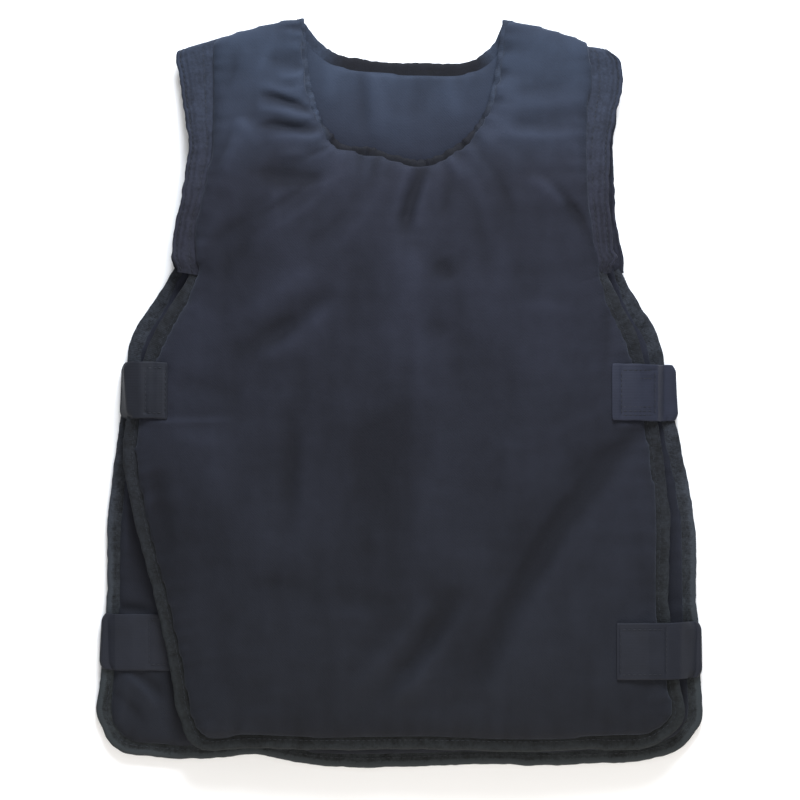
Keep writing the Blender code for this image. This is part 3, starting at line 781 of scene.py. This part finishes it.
class VEST_OT_armhole_bands(bpy.types.Operator):
    """Turns a stitched band of cloth round each armhole"""

    bl_idname = "vest.armhole_bands"
    bl_label = "Armhole bands"

    def execute(self, context):
        for side in ("left", "right"):
            node = side + "_armhole_band"
            front = strip_run(node, armhole_edge("front", side), True)
            back = strip_run(node, armhole_edge("back", side), False)
            turn = shoulder_turn(front, back)
            strip = joined([front, turn, back])
            at = strip[3]
            width = np.linalg.norm(strip[1] - strip[0], axis=1)
            section = tape_section(25, 0.12)
            across = section[None, :, 0] * width[:, None]
            grooves = 0.0
            for line, depth, wave, seed, wander in (
                (0.0034, 1.0, 0.03, 21.0, 0.0012), (0.0075, 0.7, 0.02, 22.0, 0.002),
                (width[:, None] * 0.66, 0.6, 0.025, 23.0, 0.002),
            ):
                away = across - line - (waves(at, wave, seed) * wander)[:, None]
                grooves = grooves + depth * np.exp(-((away / 0.001) ** 2))
            lift = waves(at, 0.0045, 11.0)[:, None] * 0.00035
            lift = lift + waves(at, 0.03, 12.0)[:, None] * 0.0007 * (1.2 - section[None, :, 0])
            from_end = np.minimum(at, at[-1] - at)
            plump = (0.85 - 0.5 * grooves) * (0.35 + 0.65 * smoothstep(from_end / 0.012))[:, None]
            pull = 0.07 * waves(at, 0.022, 13.0) + 0.03 * waves(at, 0.005, 14.0)
            pull += 0.22 * (1.0 - smoothstep(from_end / 0.014))
            if side == "right":
                knot = np.exp(-(((at - 0.011) / 0.0045) ** 2))
                lift = lift + 0.0008 * knot[:, None] * (1.0 - section[None, :, 0]) ** 2
                shoulder = at[len(front[0]) + len(turn[0]) // 2]
                pull += 0.32 * np.exp(-(((at - shoulder) / 0.0068) ** 2)) - 0.2 * knot
            strip = pulled(strip, pull)
            piece = build_strip(side + "_band", strip, section, 0.0032, lift, plump, False)
            piece.data.materials.append(band_twill(context))
            sew(context, piece, [
                row_on(strip, share, 0.0009, lift[:, 8])
                for share in (np.clip(0.004 / width, 0.0, 0.6), 0.66)
            ])
            finish_piece(piece, node)
        return {"FINISHED"}


class VEST_OT_edge_bindings(bpy.types.Operator):
    """Binds the sides and hem of both panels with folded tape"""

    bl_idname = "vest.edge_bindings"
    bl_label = "Edge bindings"

    def execute(self, context):
        for panel in ("front", "back"):
            node = panel + "_edge_binding"
            strip = joined([strip_run(node, lower_edge(panel), True)])
            at = strip[3]
            section = tape_section(11, 0.3)
            sway = waves(at, 0.011, 15.0)[:, None] * 0.0005 * (1.3 - section[None, :, 0])
            sway = sway + waves(at, 0.035, 16.0)[:, None] * 0.0006
            strip = pulled(strip, 0.07 * waves(at, 0.014, 17.0) + 0.03 * waves(at, 0.005, 18.0))
            plump = (0.82 + 0.16 * waves(at, 0.006, 19.0))[:, None]
            piece = build_strip(panel + "_edge_tape", strip, section, 0.0042, sway, plump, False)
            piece.data.materials.append(binding_tape(context, panel))
            sew(context, piece, [row_on(strip, 0.6, 0.0018, sway[:, 4])])
            finish_piece(piece, node)
        return {"FINISHED"}


def settling(node, level):
    """How far a strap comes down for its sewn end to lie on the front, at any points."""
    strap, cloth = node_tree(node), node_tree("front_cover")
    low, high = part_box(node)
    side = 1.0 if low.x > 0.0 else -1.0
    reach = np.arange(0.165, 0.21, 0.0005)
    under = cast(strap, np.column_stack([side * reach, np.full(len(reach), level)]), 0.015, 1.0)
    if not np.isfinite(under).any():
        return lambda points: np.zeros(len(points))
    end = reach[np.isfinite(under)][0]
    across = np.linspace(low.y + 0.002, high.y - 0.002, 14)
    gaps = []
    for inward in (0.001, 0.004, 0.008):
        line = np.column_stack([np.full(len(across), side * (end + inward)), across])
        gaps.append(cast(strap, line, 0.015, 1.0) - cast(cloth, line, 0.1, -1.0) - 0.0001)
    gap = np.min(gaps, axis=0)
    known = np.isfinite(gap)
    if known.sum() < 6:
        return lambda points: np.zeros(len(points))
    curve = np.polyfit(across[known] - level, gap[known], 2)

    def drop(points):
        sewn = 1.0 - smoothstep((np.abs(points[:, 0]) - end - 0.010) / 0.016)
        return np.clip(np.polyval(curve, points[:, 1] - level), 0.0, 0.005) * sewn

    return drop


def box_rows(start, end, middle, filled):
    """Rows of stitches, as pairs of ends: a strap's sewn box, and those that fill it."""
    box = [np.array((x, y)) for x in (start, end) for y in (middle - 0.019, middle + 0.019)]
    rows = [(box[0], box[1]), (box[2], box[3]), (box[0], box[2]), (box[1], box[3])]
    for y in (middle + 0.012, middle - 0.012, middle - 0.0155) if filled else ():
        rows.append((np.array((start, y)), np.array((end, y))))
    return rows


def shape_webbing(points, level, middle, upright):
    """Rounds a strap's outer corners, stands its outer end upright, and frays its selvedges."""
    side = 1.0 if points[:, 0].mean() > 0.0 else -1.0
    across = points[:, 1] - middle
    selvedge = smoothstep((np.abs(across) - 0.018) / 0.006)
    reach = np.abs(points[:, 0])
    beyond = smoothstep((reach - reach.max() + 0.016) / 0.008)
    corner = 0.0035 * np.clip((np.abs(across) - 0.016) / 0.008, 0.0, 1.0) ** 2
    points[:, 0] += side * beyond * (upright * across / 0.024 - corner)
    points[:, 1] += waves(points[:, 0] + level, 0.03, 5.0) * 0.0012
    points[:, 1] += waves(points[:, 0] + level, 0.007, 6.0) * 0.0004 * selvedge


class VEST_OT_straps(bpy.types.Operator):
    """Weaves the side straps, with stitched boxes where they are sewn down"""

    bl_idname = "vest.straps"
    bl_label = "Side straps"

    def execute(self, context):
        shift = table_shift()
        for node, (level, box_start, box_end, filled, upright, paler_and_painted_light) in STRAPS.items():
            piece = copy_of(node, node.replace("strap", "webbing"))
            with editing(piece):
                bpy.ops.mesh.tris_convert_to_quads(
                    face_threshold=math.radians(60.0), shape_threshold=math.radians(80.0)
                )
                bpy.ops.mesh.subdivide(number_cuts=4)
            apply_modifier(piece, "SUBSURF", levels=1, render_levels=1)
            points = coordinates(piece.data)
            middle = level * MM + shift[1]
            shape_webbing(points, level, middle, upright)
            top = normals(piece.data)[:, 2] > 0.5
            drop = settling(node, middle)
            points[:, 2] -= np.where(points[:, 2] > 0.02, drop(points), 0.0)
            rows = []
            tree = node_tree(node)
            share = np.linspace(0.0, 1.0, 30)[:, None]
            ends = [x * MM + shift[0] for x in (box_start, box_end)]
            for start, end in box_rows(*ends, middle, filled):
                line = start + (end - start) * share
                away = np.linalg.norm(points[:, None, :2] - line[None, :, :], axis=2).min(axis=1)
                points[:, 2] -= np.where(top, 0.0006 * np.exp(-((away / 0.0013) ** 2)), 0.0)
                height = cast(tree, line, 0.1, -1.0)
                known = np.isfinite(height)
                if known.sum() > 2:
                    height = np.interp(np.arange(30), np.flatnonzero(known), height[known])
                    height -= 0.0003 + drop(line)
                    rows.append((np.column_stack([line, height]), np.tile(UPWARD, (30, 1))))
            place(piece.data, points)
            write_values(piece, "paler_and_painted_light", np.full(len(points), paler_and_painted_light))
            piece.data.materials.append(side_webbing(context))
            sew(context, piece, rows)
            finish_piece(piece, node)
        return {"FINISHED"}


# Materials


def set_inputs(node, inputs):
    """Links a node's inputs to sockets, or sets their values."""
    for key, value in inputs.items():
        if isinstance(value, bpy.types.NodeSocket):
            node.id_data.links.new(value, node.inputs[key])
        else:
            node.inputs[key].default_value = value


def add_node(tree, kind, inputs=None, output=0, **settings):
    """Adds a shader node with its settings and inputs, and gives one of its outputs."""
    node = tree.nodes.new("ShaderNode" + kind)
    for key, value in settings.items():
        setattr(node, key, value)
    set_inputs(node, inputs or {})
    return node.outputs[output]


def new_material(name):
    """A material, what adds nodes to it, its principled shader and the piece's coordinates."""
    material = bpy.data.materials.new(name)
    material.use_nodes = True
    tree = material.node_tree
    add = partial(add_node, tree)
    return material, add, tree.nodes["Principled BSDF"], add("TexCoord", output="Object")


def times(colour, factor):
    """A colour with each channel multiplied, at most white."""
    return [min(1.0, c * factor) for c in colour[:3]] + [1.0]


def change(colours, after, before=None):
    """What each channel is multiplied by to turn one colour, or the cover's mean, into another."""
    before = before or [(c + w) / 2.0 for c, w in zip(colours.cover, colours.wear_and_painted_light)]
    return [a / b for a, b in zip(after, before)]


def fade_by(add, cloth, gain, place_on, axis, start, end):
    """Multiplies a cloth's colour by a gain that grows from start to end along an axis."""
    across = add("SeparateXYZ", {0: place_on}, axis)
    patch = add("TexNoise", {"Vector": place_on, "Scale": 22.0, "Detail": 2.0})
    if axis == "X":
        centred = add("Math", {0: across, 1: -0.004}, operation="ADD")
        across = add("Math", {0: centred}, operation="ABSOLUTE")
    uneven = add("Math", {0: patch, 1: 0.05, 2: across}, operation="MULTIPLY_ADD")
    share = add("MapRange", {"Value": uneven, "From Min": start + 0.025, "From Max": end + 0.025})
    return add("Mix", {
        "Factor": share, "A": cloth, "B": gain[:3] + [1.0],
    }, "Result", data_type="RGBA", blend_type="MULTIPLY")


def cover_twill(context):
    """Polyester-cotton twill, woven and piece-dyed: matt, with random wear in its nap. Ridges are
    drawn paler and valleys darker as painted light and shade, and the twill is painted lighter and
    bluer towards the shoulders and darker and greyer towards the hem.
    """
    name = "polyester_cotton_twill"
    if name in bpy.data.materials:
        return bpy.data.materials[name]
    colours = context.scene.vest_colours
    material, add, shader, place_on = new_material(name)
    # Real twill lines lie 0.5 mm apart, and are drawn at 1.7 mm to show at all
    twill = add("TexWave", {
        "Vector": place_on, "Scale": DIAGONAL_BAND / 0.0017, "Distortion": 3.0, "Detail": 2.0,
        "Detail Scale": 0.6,
    }, "Fac", wave_type="BANDS", bands_direction="DIAGONAL")
    nap = add("TexNoise", {"Vector": place_on, "Scale": 480.0, "Detail": 4.0, "Roughness": 0.75})
    wear = add("TexNoise", {"Vector": place_on, "Scale": 14.0, "Detail": 6.0, "Roughness": 0.62})
    # Painted light and shade: the relief draws ridges paler and valleys darker, mixed with random
    # wear
    relief = add("Attribute", None, "Fac", attribute_name="relief")
    painted_light_and_wear = add("Math", {0: relief, 1: 0.9, 2: wear}, operation="MULTIPLY_ADD")
    nap_wear_and_painted_light = add("Math", {0: nap, 1: 0.45, 2: painted_light_and_wear}, operation="MULTIPLY_ADD")
    wear_and_painted_light = add("MapRange", {"Value": nap_wear_and_painted_light, "From Min": 0.25, "From Max": 1.2})
    cloth = add("Mix", {
        "Factor": wear_and_painted_light, "A": colours.cover, "B": colours.wear_and_painted_light,
    }, "Result", data_type="RGBA")
    # Painted light: paler and bluer towards the shoulders
    paler_and_painted_light = fade_by(add, cloth, change(colours, colours.paler_and_painted_light), place_on, "Y", 0.18, 0.29)
    # Painted shade: darker and greyer towards the hem
    hem_shade = fade_by(add, paler_and_painted_light, change(colours, colours.hem_shade), place_on, "Y", 0.06, -0.30)
    weave = add("Math", {0: twill, 1: 0.1, 2: nap}, operation="MULTIPLY_ADD")
    set_inputs(shader, {
        "Base Color": hem_shade,
        "Normal": add("Bump", {"Height": weave, "Strength": 0.6, "Distance": 0.0006}),
        "Roughness": add("MapRange", {"Value": nap, "To Min": 0.75, "To Max": 0.95}),
        "Specular IOR Level": 0.2, "Sheen Weight": 0.08, "Sheen Roughness": 0.45,
        "Sheen Tint": (0.7, 0.8, 1.0, 1.0),
    })
    return material


def strip_cloth(context, name, colour, pitch, lengthwise, contrast, rim, fade):
    """A woven strip with ribs along or across it: a painted highlight along its outer rim near the
    hem, and painted shade in its grooves and between its gathers.

    It reads the strip's own UV map, in metres along it and in from its outer side.
    """
    if name in bpy.data.materials:
        return bpy.data.materials[name]
    colours = context.scene.vest_colours
    material, add, shader, place_on = new_material(name)
    along = add("UVMap", uv_map="UVMap")
    ribs = add("TexWave", {
        "Vector": along, "Scale": BAND / pitch, "Distortion": 1.4, "Detail": 2.0,
    }, "Fac", wave_type="BANDS", bands_direction="Y" if lengthwise else "X")
    fuzz = add("TexNoise", {"Vector": place_on, "Scale": 420.0, "Detail": 4.0, "Roughness": 0.7})
    blotch = add("TexNoise", {"Vector": place_on, "Scale": 90.0, "Detail": 5.0, "Roughness": 0.7})
    shade = add("Math", {0: ribs, 1: 0.06, 2: blotch}, operation="MULTIPLY_ADD")
    speckle = add("Math", {0: fuzz, 1: 0.9, 2: shade}, operation="MULTIPLY_ADD")
    # Painted highlight: the outer rim is drawn paler near the hem, broken up by speckle
    outer = add("MapRange", {
        "Value": add("SeparateXYZ", {0: along}, "Y"),
        "From Min": 0.006, "From Max": 0.0, "To Max": rim,
    })
    low = add("MapRange", {
        "Value": add("SeparateXYZ", {0: place_on}, "Y"),
        "From Min": -0.05, "From Max": -0.20,
    })
    rim_highlight = add("Math", {0: outer, 1: low}, operation="MULTIPLY")
    # Painted shade and light: grooved, thinner parts of the strip are drawn darker and plumper ones
    # paler
    relief = add("Attribute", None, "Fac", attribute_name="relief")
    groove_shade = add("Math", {0: relief, 1: 0.35, 2: speckle}, operation="MULTIPLY_ADD")
    painted_light_and_wear = add("Math", {0: rim_highlight, 1: fuzz, 2: groove_shade}, operation="MULTIPLY_ADD")
    wear_and_painted_light = add("MapRange", {"Value": painted_light_and_wear, "From Min": 0.68, "From Max": 1.35})
    cloth = add("Mix", {
        "Factor": wear_and_painted_light, "A": times(colour, 1.0 - contrast),
        "B": times(colour, 1.0 + contrast + rim),
    }, "Result", data_type="RGBA")
    # Painted light: paler and bluer along the given axis, towards the shoulders or the neck tape's
    # ends
    paler_and_painted_light = fade_by(add, cloth, change(colours, colours.paler_and_painted_light, colour), place_on, *fade)
    # Painted shade: darker and greyer towards the hem
    hem_shade = fade_by(add, paler_and_painted_light, change(colours, colours.hem_shade), place_on, "Y", -0.05, -0.25)
    weave = add("Math", {0: ribs, 1: 0.15, 2: fuzz}, operation="MULTIPLY_ADD")
    set_inputs(shader, {
        "Base Color": hem_shade,
        "Normal": add("Bump", {"Height": weave, "Strength": 0.6, "Distance": 0.0006}),
        "Roughness": 0.8, "Specular IOR Level": 0.22,
    })
    return material


def binding_tape(context, panel):
    """Polyester binding tape, woven in fine cross ribs: grey and dark, with a painted highlight on
    its rim at the hem.
    """
    colour = context.scene.vest_colours.binding
    rim = 3.0 if panel == "back" else 0.8
    name = panel + "_polyester_tape"
    return strip_cloth(context, name, colour, 0.0016, False, 0.8, rim, ("Y", 0.14, 0.30))


def gathered_tape(context):
    """The neck's tape, of the same polyester: drawn nearly black as painted shadow under the
    front's edge, and paler at its ends over the shoulders as painted light.
    """
    colour = context.scene.vest_colours.neck
    name = "polyester_gathered_tape"
    return strip_cloth(context, name, colour, 0.0016, False, 0.4, 0.0, ("X", 0.056, 0.072))


def band_twill(context):
    """The cover's twill turned twice and pressed flat: the same matt cloth, a little greyer."""
    colour = context.scene.vest_colours.band
    name = "pressed_twill_band"
    return strip_cloth(context, name, colour, 0.0042, True, 0.45, 0.1, ("Y", 0.16, 0.33))


def side_webbing(context):
    """Polypropylene webbing, woven in lengthwise ribs: tighter and glossier than the cloth."""
    name = "polypropylene_webbing"
    if name in bpy.data.materials:
        return bpy.data.materials[name]
    colour = context.scene.vest_colours.webbing
    material, add, shader, place_on = new_material(name)
    # Ribs run along the strap, 2.4 mm apart, with weft picks across them
    ribs, picks = (
        add("TexWave", {
            "Vector": place_on, "Scale": BAND / pitch, "Distortion": 0.3,
        }, "Fac", wave_type="BANDS", bands_direction=axis)
        for pitch, axis in ((0.0024, "Y"), (0.0018, "X"))
    )
    blotch = add("TexNoise", {"Vector": place_on, "Scale": 60.0, "Detail": 4.0})
    weave = add("Math", {0: picks, 1: 0.35, 2: ribs}, operation="MULTIPLY_ADD")
    shade = add("Math", {0: weave, 1: 0.06, 2: blotch}, operation="MULTIPLY_ADD")
    cloth = add("Mix", {
        "Factor": shade, "A": times(colour, 0.7), "B": times(colour, 1.25),
    }, "Result", data_type="RGBA")
    # Some straps are drawn paler and bluer all over
    paler_and_painted_light = add("Attribute", None, "Fac", attribute_name="paler_and_painted_light")
    set_inputs(shader, {
        "Base Color": add("Mix", {
            "Factor": paler_and_painted_light, "A": cloth, "B": (1.5, 1.55, 1.85, 1.0),
        }, "Result", data_type="RGBA", blend_type="MULTIPLY"),
        "Normal": add("Bump", {"Height": weave, "Strength": 0.12, "Distance": 0.0004}),
        "Roughness": 0.7, "Specular IOR Level": 0.21,
    })
    return material


def sewing_thread(context):
    """Spun polyester sewing thread, two-ply: a little paler and smoother than the cloth."""
    name = "polyester_thread"
    if name in bpy.data.materials:
        return bpy.data.materials[name]
    colour = context.scene.vest_colours.thread
    material, add, shader, place_on = new_material(name)
    ply = add("TexNoise", {"Vector": place_on, "Scale": 700.0, "Detail": 1.0})
    set_inputs(shader, {
        "Base Color": add("Mix", {
            "Factor": ply, "A": times(colour, 0.6), "B": colour,
        }, "Result", data_type="RGBA"),
        "Roughness": 0.6, "Specular IOR Level": 0.3,
    })
    return material


def pale_paper(context):
    """Seamless studio paper: pale, matt and very slightly uneven."""
    colour = context.scene.vest_colours.floor
    material, add, shader, place_on = new_material("studio_paper")
    pulp = add("TexNoise", {"Vector": place_on, "Scale": 6.0, "Detail": 4.0})
    set_inputs(shader, {
        "Base Color": add("Mix", {
            "Factor": pulp, "A": times(colour, 0.98), "B": colour,
        }, "Result", data_type="RGBA"),
        "Roughness": 0.9, "Specular IOR Level": 0.1,
    })
    return material


# Stage


def soft_light(name, at, towards, size, power, colour):
    bpy.ops.object.light_add(type="AREA", location=at)
    light = bpy.context.object
    light.name = name
    light.data.shape = "DISK"
    light.data.size = size
    light.data.energy = power
    light.data.color = colour
    light.rotation_euler = (Vector(towards) - Vector(at)).to_track_quat("-Z", "Y").to_euler()


class VEST_OT_stage(bpy.types.Operator):
    """Sets the pale floor, the soft lights and the camera straight above the vest"""

    bl_idname = "vest.stage"
    bl_label = "Stage"

    def execute(self, context):
        scene = context.scene
        bpy.ops.object.select_all(action="DESELECT")
        bpy.ops.mesh.primitive_plane_add(size=6.0, location=(0.0, 0.0, -0.0005))
        floor = context.object
        floor.name = "paper_floor"
        bpy.ops.object.transform_apply(location=True)
        floor.data.materials.append(pale_paper(context))
        for light in LIGHTS:
            soft_light(*light)
        scene.world = bpy.data.worlds.new("studio_air")
        scene.world.use_nodes = True
        air = scene.world.node_tree.nodes["Background"]
        air.inputs["Color"].default_value = (0.95, 0.97, 1.0, 1.0)
        air.inputs["Strength"].default_value = 0.40
        # The photograph's frame is 0.68 m wide at the vest, and its middle lies a little off it
        lens = scene.vest_sizes.lens
        height = 0.015 + 0.68 * lens / 36.0
        bpy.ops.object.camera_add(location=(0.0, -0.006, height), rotation=(0.0, 0.0, 0.0))
        camera = context.object
        camera.data.lens = lens
        camera.data.clip_end = 20.0
        scene.camera = camera
        scene.view_settings.view_transform = "Standard"
        return {"FINISHED"}


class VEST_PT_pieces(bpy.types.Panel):
    """Lists the vest's pieces, with their sizes and colours"""

    bl_idname = "VEST_PT_pieces"
    bl_label = "Stab vest"
    bl_space_type = "VIEW_3D"
    bl_region_type = "UI"
    bl_category = "Vest"

    def draw(self, context):
        for operator in OPERATORS:
            self.layout.operator(operator.bl_idname)
        for group in (context.scene.vest_sizes, context.scene.vest_colours):
            for name in group.bl_rna.properties.keys():
                if name not in ("rna_type", "name"):
                    self.layout.prop(group, name)


OPERATORS = (
    VEST_OT_front_panel, VEST_OT_back_panel, VEST_OT_neck_binding, VEST_OT_armhole_bands,
    VEST_OT_edge_bindings, VEST_OT_straps, VEST_OT_stage,
)
CLASSES = (VEST_PG_colours, VEST_PG_sizes, VEST_PT_pieces) + OPERATORS


def register():
    for cls in CLASSES:
        bpy.utils.register_class(cls)
    bpy.types.Scene.vest_colours = bpy.props.PointerProperty(type=VEST_PG_colours)
    bpy.types.Scene.vest_sizes = bpy.props.PointerProperty(type=VEST_PG_sizes)


def unregister():
    del bpy.types.Scene.vest_sizes
    del bpy.types.Scene.vest_colours
    for cls in reversed(CLASSES):
        bpy.utils.unregister_class(cls)


def main():
    register()
    bpy.ops.vest.front_panel()
    bpy.ops.vest.back_panel()
    bpy.ops.vest.neck_binding()
    bpy.ops.vest.armhole_bands()
    bpy.ops.vest.edge_bindings()
    bpy.ops.vest.straps()
    bpy.ops.vest.stage()


if __name__ == "__main__":
    main()
